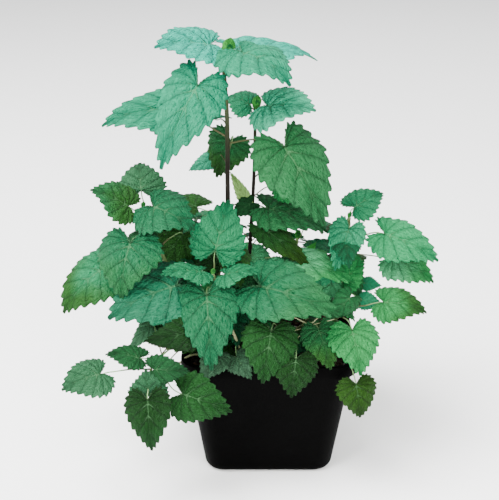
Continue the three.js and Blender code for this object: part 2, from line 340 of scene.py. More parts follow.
def scatter_grains(name, count, smallest, largest, seed):
    """Joins many small broken lumps that lie on the soil into one piece."""
    chance = random.Random(seed)
    grains = []
    for number in range(count):
        x, y = on_rounded_square(*(chance.uniform(-1, 1) * soil_half * 0.97 for _ in range(2)))
        size = chance.uniform(smallest, largest)
        bpy.ops.object.select_all(action="DESELECT")
        bpy.ops.mesh.primitive_ico_sphere_add(
            subdivisions=1, radius=size, location=(x, y, soil_height(x, y) + size * 0.35),
            rotation=[chance.uniform(0, math.tau) for _ in range(3)]
        )
        grain = bpy.context.object
        grain.scale = [chance.uniform(0.6, 1.2) for _ in range(3)]
        for vert in grain.data.vertices:
            vert.co *= chance.uniform(0.8, 1.15)
        grains.append(grain)
    bpy.ops.object.select_all(action="DESELECT")
    for grain in grains:
        grain.select_set(True)
    bpy.context.view_layer.objects.active = grains[0]
    bpy.ops.object.join()
    bpy.ops.object.transform_apply(location=True, rotation=True, scale=True)
    return start_piece(name)


bark = Finish("bark_crumb", {"Specular IOR Level": 0.25, "Roughness": 0.9})
place = bark.place()
patches = bark.noise(place, 300.0, 3.0)
bark.colour(bark.mix(patches, linear(22, 15, 11), linear(82, 60, 41)))
bark.bump(bark.noise(place, 1500.0), 0.0004)
finish_piece(scatter_grains("bark_crumbs", 260, 0.0007, 0.002, 11), [bark])

perlite = Finish("perlite", {"Specular IOR Level": 0.3, "Roughness": 0.85})
place = perlite.place()
perlite.colour(perlite.mix(perlite.noise(place, 700.0), linear(150, 147, 140), linear(196, 194, 188)))
perlite.bump(perlite.noise(place, 1800.0), 0.0004)
finish_piece(scatter_grains("perlite_grains", 90, 0.0006, 0.0015, 5), [perlite])


# ---- stems ----
# Catmint stems are square with soft corners, a little swollen where a pair of
# leaves joins, though these only taper towards the top. The two tall ones are old, brown and tinged with
# purple.


def merged_points(node):
    """The vertices of a CAD node with doubles merged, and each one's neighbours."""
    mesh = bmesh.new()
    mesh.from_mesh(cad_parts[node].data)
    bmesh.ops.remove_doubles(mesh, verts=mesh.verts, dist=0.00002)
    points = [vert.co.copy() for vert in mesh.verts]
    near = [{edge.other_vert(vert).index for edge in vert.link_edges} for vert in mesh.verts]
    mesh.free()
    return points, near


def rings_from(points, near, start):
    """Groups the vertices into the rings that follow one another from a first group."""
    rings = [set(start)]
    seen = set(start)
    while True:
        ring = {n for index in rings[-1] for n in near[index]} - seen
        if not ring:
            return rings
        rings.append(ring)
        seen |= ring


def stem_line(node):
    """The middle of a stem at each of its steps, from its foot to its top, and its half width."""
    points, near = merged_points(node)
    lowest = sorted(range(len(points)), key=lambda index: points[index].z)[:4]
    rings = rings_from(points, near, lowest)
    line = [sum((points[i] for i in ring), Vector()) / len(ring) for ring in rings]
    first = [points[i] for i in rings[0]]
    half = max((point - line[0]).length for point in first) * math.sqrt(0.5)
    return line, half


def tube(name, line, radii, section=None, sides=2):
    """A closed tube of changing radius along a smooth line, round or of the section given."""
    curve = bpy.data.curves.new(name, "CURVE")
    curve.dimensions = "3D"
    curve.use_fill_caps = True
    curve.resolution_u = 5
    if section:
        curve.bevel_mode = "OBJECT"
        curve.bevel_object = section
    else:
        curve.bevel_depth = 1.0
        curve.bevel_resolution = sides
    spline = curve.splines.new("BEZIER")
    spline.bezier_points.add(len(line) - 1)
    for point, place, radius in zip(spline.bezier_points, line, radii):
        point.co = place
        point.radius = radius
        point.handle_left_type = "AUTO"
        point.handle_right_type = "AUTO"
    piece = bpy.data.objects.new(name, curve)
    bpy.context.collection.objects.link(piece)
    bpy.ops.object.select_all(action="DESELECT")
    piece.select_set(True)
    bpy.context.view_layer.objects.active = piece
    bpy.ops.object.convert(target="MESH")
    piece = start_piece(name)
    bpy.ops.object.mode_set(mode="EDIT")
    bpy.ops.mesh.select_all(action="SELECT")
    bpy.ops.mesh.remove_doubles(threshold=0.00001)
    bpy.ops.mesh.normals_make_consistent(inside=False)
    bpy.ops.object.mode_set(mode="OBJECT")
    bpy.ops.object.shade_smooth()
    return piece


bpy.ops.object.select_all(action="DESELECT")
bpy.ops.curve.primitive_bezier_circle_add(radius=1)
stem_section = bpy.context.object
stem_section.name = "stem_section"
# Four points of a circle whose handles are drawn out make a square with soft corners.
for point in stem_section.data.splines[0].bezier_points:
    corner = point.co.copy()
    point.handle_left_type = "FREE"
    point.handle_right_type = "FREE"
    point.handle_left = corner + (point.handle_left - corner) * 0.62
    point.handle_right = corner + (point.handle_right - corner) * 0.62
stem_section.data.resolution_u = 4

old_stem = Finish("old_stem", {"Roughness": 0.65, "Specular IOR Level": 0.08})
place = old_stem.place()
mottle = old_stem.noise(place, 180.0, 3.0)
height = old_stem.node("SeparateXYZ", {}, {"Vector": place}, "Z")
young_end = old_stem.step(height, 0.17, 0.236)
bark_brown = old_stem.mix(mottle, linear(10, 7, 5), linear(25, 20, 14))
old_stem.colour(old_stem.mix(young_end, bark_brown, linear(54, 66, 40)))
old_stem.bump(old_stem.noise(place, 900.0), 0.0002)

green_stem = Finish("green_stem", {"Roughness": 0.65, "Specular IOR Level": 0.1})
place = green_stem.place()
mottle = green_stem.noise(place, 120.0, 3.0)
green_stem.colour(green_stem.mix(mottle, linear(56, 84, 44), linear(92, 98, 66)))
green_stem.bump(green_stem.noise(place, 900.0), 0.0002)

stem_lines = {}
for node in sorted(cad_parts):
    if not node.endswith("_stem"):
        continue
    shoot = node.removesuffix("_stem")
    line, half = stem_line(node)
    stem_lines[shoot] = line
    tall = shoot in ("tall", "second")
    slim = 0.6 if shoot == "low_left" else 1.0
    top = len(line) - 1
    radii = [half * slim * (1.25 - 0.35 * step / top) for step in range(top + 1)]
    stem = tube(f"{shoot}_grown_stem", line, radii, stem_section)
    finish_piece(stem, [old_stem if tall else green_stem], [node])
bpy.data.objects.remove(stem_section)


# ---- leaves ----
# Each leaf is heart-shaped, with blunt teeth, a quilted downy upper side and a
# paler underside. It is grown once as a flat blade, which is then laid along the
# midrib of each leaf and closed with a stalk that runs on under it.

# Half outlines of flat blades from the stalk round to the tip: place along the leaf
# and distance from its midrib, both as shares of its length. The bud's is an oval.
heart_outline = [
    (0.0, 0.0), (-0.055, 0.05), (-0.15, 0.115), (-0.235, 0.205), (-0.225, 0.32), (-0.125, 0.425),
    (0.03, 0.495), (0.21, 0.49), (0.4, 0.415), (0.585, 0.31), (0.76, 0.19), (0.9, 0.085), (1.0, 0.0),
]
bud_outline = [
    (0.0, 0.0), (0.005, 0.12), (0.06, 0.26), (0.17, 0.38), (0.33, 0.46), (0.52, 0.48), (0.7, 0.42),
    (0.85, 0.29), (0.95, 0.14), (1.0, 0.0),
]
teeth = 15
tooth_depth = 0.05
tooth_lean = 0.45
side_veins = 9
first_vein = 0.9
blade_thickness = 0.008
quilt_height = 0.04
rib_groove = 0.016
lobe_inset = 0.07
narrowing_start = 0.6  # where along the edge the midrib starts to run out to the tip
vein_bow = 0.03  # how far the veins bow back towards the stalk


def along_outline(outline, share):
    """A point of a half outline, by its share of the way from the stalk to the tip."""
    steps = len(outline) - 1
    at = min(share * steps, steps - 1e-6)
    index = int(at)
    local = at - index
    points = [Vector(outline[max(0, min(steps, index + k))]) for k in (-1, 0, 1, 2)]
    before, first, second, after = points
    slope_first = (second - before) / 2
    slope_second = (after - first) / 2
    square = local * local
    cube = square * local
    return (
        first * (2 * cube - 3 * square + 1) + slope_first * (cube - 2 * square + local)
        + second * (3 * square - 2 * cube) + slope_second * (cube - square)
    )


def blade_point(outline, depth, share, across):
    """Where a point of the grid lies on the flat blade, with its relief and teeth of a depth."""
    side = abs(across)
    edge = along_outline(outline, share)
    ahead = along_outline(outline, min(1, share + 0.01)) - along_outline(outline, max(0, share - 0.01))
    ahead.normalize()
    outward = Vector((-ahead.y, ahead.x))
    tooth = math.sin(math.pi * (share * teeth % 1) ** 1.5)
    ends = min(1, share / 0.08, (1 - share) / 0.05)
    notch = (outward * (tooth - 0.5) + ahead * tooth * tooth_lean) * depth * ends
    start = Vector((max(0.0, (share - narrowing_start) / (1 - narrowing_start)) ** 1.4, 0))
    spot = start + (edge - start) * side + notch * side ** 5
    spot.x -= vein_bow * math.sin(math.pi * side) * min(1, share * 2) * (1 - share)
    phase = (share * side_veins - first_vein) % 1
    pucker = math.sin(math.pi * phase) ** 0.8
    cells = 0.72 + 0.28 * math.sin(side * 24 + 2.4 * int(share * side_veins - first_vein + 1))
    margin = min(1, side / 0.14) * (1 - side ** 4) * min(1, (1 - share) * 5, share * 8)
    groove = math.exp(-((side / 0.08) ** 2)) * (1 - share) * min(1, share * 12)
    relief = quilt_height * pucker * cells * margin - rib_groove * groove
    return Vector((spot.x, math.copysign(max(spot.y, 0.0), across), relief))


def make_blade(name, rows, columns, outline, depth):
    """A flat blade of length 1, with its teeth and its thickness, as a mesh."""
    bpy.ops.object.select_all(action="DESELECT")
    bpy.ops.mesh.primitive_grid_add(x_subdivisions=rows, y_subdivisions=columns, size=2)
    blade = start_piece(name)
    blade.data.uv_layers[0].name = "leaf"
    for vert in blade.data.vertices:
        vert.co = blade_point(outline, depth, (vert.co.x + 1) / 2, vert.co.y)
    bpy.ops.object.mode_set(mode="EDIT")
    bpy.ops.mesh.select_all(action="SELECT")
    bpy.ops.mesh.remove_doubles(threshold=0.0005)
    bpy.ops.mesh.normals_make_consistent(inside=False)
    bpy.ops.object.mode_set(mode="OBJECT")
    if sum(face.normal.z for face in blade.data.polygons) < 0:
        blade.data.flip_normals()
    upper = len(blade.data.vertices)
    shell = blade.modifiers.new("thickness", "SOLIDIFY")
    shell.thickness = blade_thickness
    shell.offset = -1
    bpy.ops.object.modifier_apply(modifier="thickness")
    under = blade.data.attributes.new("under", "FLOAT", "POINT")
    along = blade.data.attributes.new("along", "FLOAT", "POINT")
    for index, vert in enumerate(blade.data.vertices):
        under.data[index].value = float(index >= upper)
        along.data[index].value = vert.co.x
    bpy.ops.object.shade_smooth()
    mesh = blade.data
    bpy.data.objects.remove(blade)
    return mesh


full_blade = make_blade("full_blade", teeth * 5, 32, heart_outline, tooth_depth)
small_blade = make_blade("small_blade", teeth * 3, 10, heart_outline, tooth_depth)
bud_blade = make_blade("bud_blade", 24, 8, bud_outline, 0.0)

leaf_skin = Finish("leaf_skin", {"Specular IOR Level": 0.1})
place = leaf_skin.place()
young = leaf_skin.node("Attribute", {"attribute_name": "tint"}, {}, "Color")
aged = leaf_skin.node("Attribute", {"attribute_name": "tip_tint"}, {}, "Color")
along = leaf_skin.node("Attribute", {"attribute_name": "along"}, {}, "Fac")
under = leaf_skin.node("Attribute", {"attribute_name": "under"}, {}, "Fac")
grid = leaf_skin.node("UVMap", {"uv_map": "leaf"}, {})
share = leaf_skin.node("SeparateXYZ", {}, {"Vector": grid}, "X")
across = leaf_skin.node("SeparateXYZ", {}, {"Vector": grid}, "Y")
side = across * 2 - 1
side = side.math("ABSOLUTE", side)
patchy = leaf_skin.noise(place, 90.0, 3.0)
blotches = leaf_skin.noise(place, 60.0, 2.0)
ageing = leaf_skin.step(along + side * 0.25 + (blotches - 0.5) * 0.9, 0.2, 0.85)
tint = leaf_skin.mix(ageing, young, aged)
crooked = leaf_skin.noise(place, 320.0, 1.0)
order = share * side_veins - first_vein + (patchy - 0.5) * 0.2 + (crooked - 0.5) * 0.16
from_vein = side.math("PINGPONG", order, 0.5)
from_branch = side.math("PINGPONG", order * 2, 0.5)
from_rung = side.math("PINGPONG", side * 9 + patchy * 2.2 + order * 0.35, 0.5)
main_veins = 1 - leaf_skin.step(from_vein * (side + 0.12), 0.006, 0.028)
branches = (1 - leaf_skin.step(from_branch, 0.04, 0.24)) * leaf_skin.step(side, 0.15, 0.4)
rungs = 1 - leaf_skin.step(from_rung, 0.0, 0.22)
midrib = 1 - leaf_skin.step(side, 0.012, 0.05)
cells = leaf_skin.node("TexVoronoi", {"feature": "DISTANCE_TO_EDGE"}, {"Vector": place, "Scale": 700.0})
wrinkles = 1 - leaf_skin.step(cells, 0.0, 0.2)
veins = main_veins.math("MAXIMUM", main_veins, midrib)
network = branches * 0.5 + rungs * 0.35 + wrinkles * 0.22
network = network.math("MINIMUM", network, 1.0)
ridge_place = leaf_skin.node("CombineXYZ", {}, {"X": order * 2.4, "Y": side * 7, "Z": patchy * 3})
ridges = leaf_skin.step(leaf_skin.noise(ridge_place, 1.6, 2.0), 0.36, 0.64)
swelling = leaf_skin.step(from_vein, 0.03, 0.36)
painted_groove_shade = leaf_skin.node("VectorMath", {"operation": "SCALE"}, {"Vector": tint, "Scale": 0.5})
# Lighter on the swellings between the veins and on the ridges, darker in the valleys: painted light and
# shade on the quilting, mixed with a random patchy tone.
light = leaf_skin.node("VectorMath", {"operation": "SCALE"}, {"Vector": tint, "Scale": 1.36})
painted_valley_shade = leaf_skin.node("VectorMath", {"operation": "SCALE"}, {"Vector": tint, "Scale": 0.78})
skin = leaf_skin.mix(swelling * 0.4 + ridges * 0.4 + patchy * 0.2, painted_valley_shade, light)
# Darker along the small veins, the wrinkles and the main veins: painted shade in their grooves.
skin = leaf_skin.mix(network * 0.28, skin, painted_groove_shade)
skin = leaf_skin.mix(main_veins * 0.15, skin, painted_groove_shade)
near_base = 1 - leaf_skin.step(side, 0.06, 0.5)
pale_rib = veins * near_base * (1 - share) * 0.6
skin = leaf_skin.mix(pale_rib, skin, linear(96, 146, 96))
grey = leaf_skin.mix(0.25, tint, linear(92, 122, 88))
belly = leaf_skin.mix(veins * 0.6, grey, linear(110, 142, 100))
leaf_skin.colour(leaf_skin.mix(under, skin, belly))
leaf_skin.roughness(0.5 + patchy * 0.18)
height = ridges * 0.7 - veins * 0.7 - network * 0.35 + leaf_skin.noise(place, 2400.0) * 0.2
leaf_skin.bump(height, 0.0009, 1.0)

stalk_skin = Finish("stalk_skin", {"Roughness": 0.65, "Specular IOR Level": 0.1})
place = stalk_skin.place()
stalk_mottle = stalk_skin.noise(place, 110.0)
outward = stalk_skin.node("Attribute", {"attribute_name": "outward"}, {}, "Fac")
foot_colour = stalk_skin.mix(stalk_mottle, linear(50, 66, 34), linear(70, 60, 44))
blade_colour = stalk_skin.mix(stalk_mottle, linear(92, 140, 84), linear(122, 150, 104))
stalk_skin.colour(stalk_skin.mix(stalk_skin.step(outward, 0.25, 1.0), foot_colour, blade_colour))
stalk_skin.bump(stalk_skin.noise(place, 1200.0), 0.0002)


def bezier(first, control, last, share):
    """A point of a curve with one control point."""
    rest = 1 - share
    return first * rest * rest + control * 2 * rest * share + last * share * share


def bezier_way(first, control, last, share):
    """Which way that curve runs at the same point."""
    return ((control - first) * (1 - share) + (last - control) * share).normalized()


def read_leaf(node):
    """What a CAD leaf says of its leaf: stalk, midrib, width and the way that it faces."""
    points, near = merged_points(node)
    for tip in (i for i in range(len(points)) if len(near[i]) == 4):
        rings = rings_from(points, near, [tip])
        if all(len(ring) == 4 for ring in rings[1:]):
            break
    corners = [[points[i] for i in ring] for ring in rings[::-1]]
    stalk = [sum(ring, Vector()) / 4 for ring in corners[:4]]
    blade = []
    for ring in corners[4:-1]:
        pairs = [(a, b) for a in ring for b in ring]
        wide = max(pairs, key=lambda pair: (pair[0] - pair[1]).length)
        blade.append((wide, [corner for corner in ring if corner not in wide]))
    reach = 0.46
    on_midrib = sum(blade[3][1], Vector()) / 2
    base = stalk[-1]
    bend = on_midrib - base * (1 - reach) ** 2 - points[tip] * reach ** 2
    control = bend / (2 * reach * (1 - reach))
    up = (blade[3][1][0] - blade[3][1][1]).normalized()
    if up.dot(control - (base + points[tip]) / 2) < 0:
        up.negate()
    width = (blade[2][0][0] - blade[2][0][1]).length
    # The stalk joins the blade a little way in, between its two lobes.
    joined = bezier(base, control, points[tip], lobe_inset)
    control = control.lerp(points[tip], lobe_inset)
    stalk.append(joined)
    return stalk, control, points[tip], up, width


def on_line(line, place):
    """The nearest place to another one on a line of points."""
    best = None
    for first, second in zip(line, line[1:]):
        step = second - first
        share = max(0.0, min(1.0, (place - first).dot(step) / step.length_squared))
        spot = first + step * share
        if best is None or (spot - place).length < (best - place).length:
            best = spot
    return best


stalk_radius = 0.00022
stalk_growth = 0.0046  # how much thicker a stalk is for each metre of leaf size
# Where the stalk runs on under the blade: share of the midrib and share of its radius.
rib_taper = ((0.0, 1.0), (0.12, 0.7), (0.3, 0.5), (0.55, 0.3))


def lay_leaf(name, stalk, control, tip, up, width, colours, seed, mesh=full_blade, folded=0.0):
    """Lays a blade along a midrib, with a stalk that runs on under it, as one piece."""
    chance = random.Random(seed)
    base = stalk[-1]
    length = (tip - base).length
    size = math.sqrt(length * width)
    fold = chance.uniform(0.12, 0.34)
    curl = fold + chance.uniform(0.08, 0.24)
    twist = chance.uniform(-0.25, 0.25)
    wave = chance.uniform(0.02, 0.05)
    wave_start = chance.uniform(0, math.tau)
    hook = chance.uniform(0.0, 0.1)
    lobe_way = bezier_way(base, control, tip, 0.4)
    blade = bpy.data.objects.new(name, mesh.copy())
    bpy.context.collection.objects.link(blade)
    for vert in blade.data.vertices:
        x, y, z = vert.co
        at = max(0.0, min(1.0, x))
        way = bezier_way(base, control, tip, at)
        side_way = way.cross(up).normalized()
        face_way = side_way.cross(way).normalized()
        turn = twist * (at - 0.3)
        side_turned = side_way * math.cos(turn) + face_way * math.sin(turn)
        face_turned = face_way * math.cos(turn) - side_way * math.sin(turn)
        lift = width * ((fold + folded) * abs(y) - curl * 2 * y * y)
        lift += width * wave * math.sin(at * 9 + wave_start + (2 if y > 0 else 0)) * (2 * y) ** 2
        lift -= length * hook * max(0.0, at - 0.6) ** 2 * 4
        place = bezier(base, control, tip, at) + lobe_way * (x - at) * length
        vert.co = place + side_turned * y * width + face_turned * (lift + z * size)
    rib_line = stalk[:-1]
    radius = stalk_radius + stalk_growth * size
    radii = [radius * 1.5, radius * 1.15] + [radius] * (len(stalk) - 3)
    for share_on, share_thick in rib_taper:
        way = bezier_way(base, control, tip, share_on)
        face_way = way.cross(up).cross(way).normalized()
        sunk = size * (rib_groove + blade_thickness * 0.5) + radius * share_thick
        rib_line.append(bezier(base, control, tip, share_on) - face_way * sunk)
        radii.append(radius * share_thick)
    stalk_piece = tube(name + "_stalk", rib_line, radii, sides=1)
    outward = stalk_piece.data.attributes.new("outward", "FLOAT", "POINT")
    for index, vert in enumerate(stalk_piece.data.vertices):
        outward.data[index].value = (vert.co - stalk[0]).length / (base - stalk[0]).length
    stalk_piece.data.materials.append(stalk_skin.material)
    blade.data.materials.append(leaf_skin.material)
    bpy.ops.object.select_all(action="DESELECT")
    stalk_piece.select_set(True)
    blade.select_set(True)
    bpy.context.view_layer.objects.active = blade
    bpy.ops.object.join()
    for attribute, colour in zip(("tint", "tip_tint"), colours):
        tints = blade.data.attributes.new(attribute, "FLOAT_COLOR", "POINT")
        for index in range(len(blade.data.vertices)):
            tints.data[index].color = colour
    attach(blade, "root")
    return blade


# Leaf tints: besides the leaves' own colours they hold painted light and shade. The pale bluish ones, such
# as frosty, misty and silver, stand for a painted sky reflection on leaves that face up; dark ones, such as
# shade and umber, are painted shade on leaves deep in the plant; and some brighter ones are painted light on
# leaves that the lamps leave in shadow.
frosty = linear(12, 120, 100)
misty = linear(4, 96, 68)
silver = linear(38, 134, 100)
teal = linear(12, 72, 48)
sea = linear(10, 68, 40)
bright_sea = linear(16, 88, 54)
mint = linear(52, 126, 82)
fresh = linear(26, 98, 48)
moss = linear(18, 70, 36)
shade = linear(8, 46, 12)
olive = linear(20, 48, 4)
lime = linear(52, 136, 54)
grass = linear(22, 60, 18)
downy = linear(28, 110, 74)
dusty = linear(32, 74, 46)
dark_moss = linear(12, 56, 26)
sage = linear(20, 106, 62)
ashen = linear(54, 94, 66)
umber = linear(4, 34, 4)

# The tints of shoots and leaves are partly their own colour and partly painted light and shade: pale and
# bluish on the top shoot, dark on the low leaves deep in the plant.
shoot_tints = {
    "tall": frosty, "second": moss, "centre": sea, "left": sea, "low_left": shade,
    "right": bright_sea, "low_right": fresh, "front": shade, "back_left": sea, "back_right": sea,
}
leaf_tints = {
    "tall_leaf_2": misty, "tall_leaf_4": misty, "tall_leaf_5": misty, "tall_leaf_6": moss,
    "tall_leaf_7": moss, "second_leaf_1": silver, "second_leaf_2": downy, "second_leaf_3": grass,
    "second_leaf_5": shade, "second_leaf_6": mint, "centre_leaf_1": bright_sea,
    "centre_leaf_2": bright_sea, "centre_leaf_3": bright_sea, "centre_leaf_5": teal,
    "left_leaf_1": dusty, "left_leaf_2": grass, "left_leaf_5": bright_sea,
    "low_left_leaf_1": dusty, "low_left_leaf_2": dark_moss, "low_left_leaf_4": umber,
    "right_leaf_1": downy, "right_leaf_3": sage, "right_leaf_4": mint, "right_leaf_5": fresh,
    "low_right_leaf_3": olive,
    "front_leaf_2": umber, "front_leaf_3": moss, "back_left_leaf_4": moss, "back_right_leaf_4": moss,
}
# Older leaves turn olive towards their tip and edges.
tip_tints = {
    "tall_leaf_7": grass, "second_leaf_5": olive, "second_leaf_6": fresh, "centre_leaf_6": moss,
    "left_leaf_2": moss, "left_leaf_4": moss, "left_leaf_5": grass, "low_left_leaf_4": shade,
    "low_left_leaf_5": shade, "right_leaf_4": fresh, "low_right_leaf_1": grass, "front_leaf_3": grass,
}
# Leaves that grew broader or narrower than their plain solid, or a little apart from
# it: a share of the width, and how far the base and the tip are moved, in millimetres.
leaf_growth = {
    "tall_leaf_1": (0.95, (0, 0, 1), (-1, 0, 1)),
    "tall_leaf_2": (1.05, (-2, 3, 2.5), (1, 0, 1)),
    "tall_leaf_3": (1.4, (-2, 0, 5), (3, 0, 0)),
    "tall_leaf_4": (0.9, (-3, 0, -3), (-1, 0, 0)),
    "tall_leaf_5": (0.8, (0, 0, -4), (0, 0, 2)),
    "tall_leaf_6": (0.95, (0, 0, 0), (2, 0, 0)),
    "second_leaf_1": (1.15, (0, 0, 0), (4, 0, 4)),
    "second_leaf_2": (1.05, (2, 0, -2), (2, -9, 2)),
    "second_leaf_4": (1.0, (0, 0, -3), (0, 0, -1)),
    "second_leaf_5": (0.6, (-3, 3, -3), (7, 8, -5)),
    "centre_leaf_1": (1.0, (0, 0, 0), (0, 0, -3)),
    "centre_leaf_5": (1.25, (0, 0, 3), (0, 0, 1)),
    "centre_leaf_6": (0.9, (-1, 0, 4), (0, 0, 0)),
    "left_leaf_3": (1.15, (0, 0, 3), (4, 0, 1)),
    "left_leaf_4": (1.12, (0, 0, 2), (0, 0, 0)),
    "left_leaf_5": (1.1, (0, 0, 0), (0, 0, 0)),
    "low_left_leaf_1": (1.0, (-2, 0, -1), (0, 0, -1)),
    "low_left_leaf_2": (1.0, (0, 0, -2), (0, 0, -2)),
    "low_left_leaf_4": (0.98, (0, 0, 2), (0, 0, 0)),
    "right_leaf_1": (1.0, (0, 0, 0), (-1, 0, -5)),
    "right_leaf_3": (0.93, (0, 0, 0), (0, 0, 0)),
    "right_leaf_4": (1.2, (2, 0, -1), (3, 0, -1)),
    "back_right_leaf_2": (0.9, (-3, 0, -5), (-10, 0, -7)),
}
# Stalks that leave their stem lower down or pass behind their own blade: how far the
# middle of the stalk is moved, in millimetres. The foot moves by the height alone.
stalk_bends = {
    "tall_leaf_4": (0, 5, -8), "tall_leaf_5": (0, 2, -14), "tall_leaf_6": (0, 4, -8),
    "front_leaf_1": (0, 4, -2), "front_leaf_2": (0, 4, -2), "front_leaf_3": (0, 4, -2),
}


def millimetres(x, y, z):
    return Vector((x, y, z)) / 1000


for number, node in enumerate(sorted(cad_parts)):
    if "_leaf_" not in node:
        continue
    shoot = node.split("_leaf_")[0]
    stalk, control, tip, up, width = read_leaf(node)
    stalk[0] = on_line(stem_lines[shoot], stalk[0])
    if node in leaf_growth:
        share, base_shift, tip_shift = leaf_growth[node]
        width *= share
        for step in range(1, len(stalk)):
            stalk[step] += millimetres(*base_shift) * step / (len(stalk) - 1)
        tip += millimetres(*tip_shift)
        control += (millimetres(*base_shift) + millimetres(*tip_shift)) / 2
    if node in stalk_bends:
        bend = millimetres(*stalk_bends[node])
        stalk[0] = on_line(stem_lines[shoot], stalk[0] + Vector((0, 0, bend.z)))
        for step in range(1, len(stalk) - 1):
            stalk[step] += bend * (1 - step / (len(stalk) - 1))
    colour = leaf_tints.get(node, shoot_tints[shoot])
    colours = (colour, tip_tints.get(node, colour))
    leaf = lay_leaf(node.replace("leaf", "blade"), stalk, control, tip, up, width, colours, number)
    "leaf_blue_green" if shoot in ("tall", "second", "centre") else "leaf_green"
    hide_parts(node)


# ---- small leaves ----
# Young leaves, buds and a few old ones, too small to carry a load: they grow from
# the same stems, mostly low down and in the leaf axils, and fill the plant out.


def stem_place(shoot, height):
    """Where a stem is at a height."""
    line = stem_lines[shoot]
    return min((on_line(line, Vector((p.x, p.y, height))) for p in line), key=lambda p: abs(p.z - height))


def small_leaf(
    name, shoot, height, base, tip, width, tint_colour, seed,
    folded=0.0, face=None, arch=0.16, mesh=small_blade
):
    """A small leaf on a stalk from a stem at a height, with its base, tip and width given."""
    root = stem_place(shoot, height)
    knee = (root + base) / 2 + Vector((0, 0, (base - root).length * 0.12))
    length = (tip - base).length
    along = (tip - base).normalized()
    level = along.cross(Vector((0, 0, 1)))
    side = level.normalized() if level.length > 0.3 else Vector((1, 0, 0))
    up = side.cross(along).normalized()
    if up.z < 0 and abs(up.z) > 0.1:
        up.negate()
    if face:
        up = (face - along * face.dot(along)).normalized()
    control = (base + tip) / 2 + up * length * arch
    leaf = lay_leaf(
        name, [root, knee, base], control, tip, up, width, (tint_colour, tint_colour), seed, mesh, folded
    )
    "leaf_blue_green" if shoot in ("tall", "second", "centre") else "leaf_green"


pale = linear(130, 172, 96)
dull = linear(34, 62, 42)
to_front = Vector((0, -8, 4))

# Their tints, like those above, are partly painted shade on leaves deep in the plant and partly painted
# light on leaves in gaps that the lamps leave in shadow.
# name, stem, height on the stem, base, tip and width in millimetres, and tint
placed_leaves = [
    ("left_low", "low_left", 83, (-65, -36, 94), (-77, -44, 81), 10, ashen),
    ("left_dark", "low_left", 78, (-40, -30, 89), (-68, -37, 84), 26, grass),
    ("left_shade", "low_left", 80, (-41, -50, 96), (-67, -55, 93), 19, umber),
    ("left_raised", "low_left", 80, (-64, -71, 69), (-65, -69, 84), 21, dusty),
    ("left_inner", "low_left", 80, (-61, -68, 83), (-42, -64, 80), 16, dark_moss),
    ("left_under", "left", 128, (-49, 4, 132), (-65, -2, 111), 27, grass),
    ("centre_back", "centre", 112, (-25, -4, 121), (-48, 0, 116), 17, shade),
    ("between_top", "second", 146, (-10, 2, 151), (-22, -4, 145), 12, dark_moss),
    ("between", "second", 116, (-9, -2, 121), (3, -8, 106), 17, mint),
    ("between_low", "second", 108, (-4, -6, 111), (10, -12, 101), 16, moss),
    ("slender", "second", 150, (-13, 4, 152), (-22, 8, 168), 8, pale),
    ("far_pale", "tall", 176, (-32, 26, 170), (-46, 22, 164), 11, silver),
    ("hidden", "second", 153, (8, 2, 162), (21, -4, 152), 18, fresh),
    ("right_hung", "right", 112, (46, 0, 120), (34, -4, 108), 16, fresh),
    ("right_inner", "right", 108, (46, -2, 110), (52, -8, 97), 15, moss),
    ("right_level", "right", 100, (53, -12, 98), (64, -16, 97), 11, downy),
    ("right_dark", "right", 100, (55, -4, 105), (64, -8, 105), 9, downy),
    ("right_low", "right", 96, (45, -22, 104), (33, -28, 93), 15, moss),
    ("right_gap", "right", 98, (36, -8, 110), (33, -14, 98), 18, mint),
    ("centre_gap", "centre", 104, (-18, -16, 116), (-8, -20, 108), 14, moss),
    ("pale_speck", "right", 104, (21, 2, 119), (27, 4, 127), 7, lime),
    ("rim_old", "centre", 84, (-28, -49, 82), (-37, -60, 72), 17, dull),
    ("rim_older", "centre", 82, (-18, -48, 80), (-10, -60, 73), 16, dull),
]
for number, (name, shoot, height, base, tip, width, colour) in enumerate(placed_leaves):
    small_leaf(
        f"{name}_leaf", shoot, height / 1000, millimetres(*base), millimetres(*tip),
        width / 1000, colour, 300 + number, face=to_front
    )

# Leaves on the far side of the tall stems: name, stem, height, base, tip and width
# in millimetres, and tint.
far_leaves = [
    ("tall_far", "tall", 198, (-29, 4, 199), (-42, 24, 192), 18, misty),
    ("tall_far_low", "tall", 128, (-24, 12, 133), (-30, 38, 123), 24, sea),
    ("second_far", "second", 164, (8, 16, 170), (23, 30, 159), 20, moss),
    ("second_far_low", "second", 120, (-5, 20, 124), (2, 44, 116), 22, sea),
]
for number, (name, shoot, height, base, tip, width, colour) in enumerate(far_leaves):
    small_leaf(
        f"{name}_leaf", shoot, height / 1000, millimetres(*base), millimetres(*tip),
        width / 1000, colour, 400 + number, mesh=full_blade
    )

# Pairs of leaves on the lower stems, each pair turned across the last one: the
# height, the way the first leaf points in degrees, its length and its stalk.
lower_pairs = {
    "tall": [(72, 40, 20, 8), (88, 130, 22, 9), (104, 60, 20, 8), (122, 110, 22, 10)],
    "second": [(74, 100, 20, 8), (92, 10, 22, 10), (108, 80, 18, 8), (126, 150, 20, 10)],
    "centre": [(70, 20, 18, 6), (84, 110, 20, 8), (98, 30, 18, 8)],
    "left": [(72, 80, 22, 8), (92, 150, 24, 10), (112, 70, 24, 10), (134, 60, 20, 8)],
    "right": [(70, 60, 20, 8), (88, 140, 22, 10), (110, 60, 24, 10), (128, 100, 20, 8)],
    "low_right": [(72, 40, 18, 6), (84, 100, 18, 8)],
    "low_left": [(72, 140, 18, 6)],
    "front": [(70, 10, 16, 6)],
    "back_left": [(72, 95, 24, 10), (84, 160, 28, 16), (96, 40, 30, 16), (110, 90, 26, 12)],
    "back_right": [(72, 60, 24, 10), (84, 150, 28, 16), (94, 20, 30, 16), (106, 110, 26, 12)],
}
chance = random.Random(21)
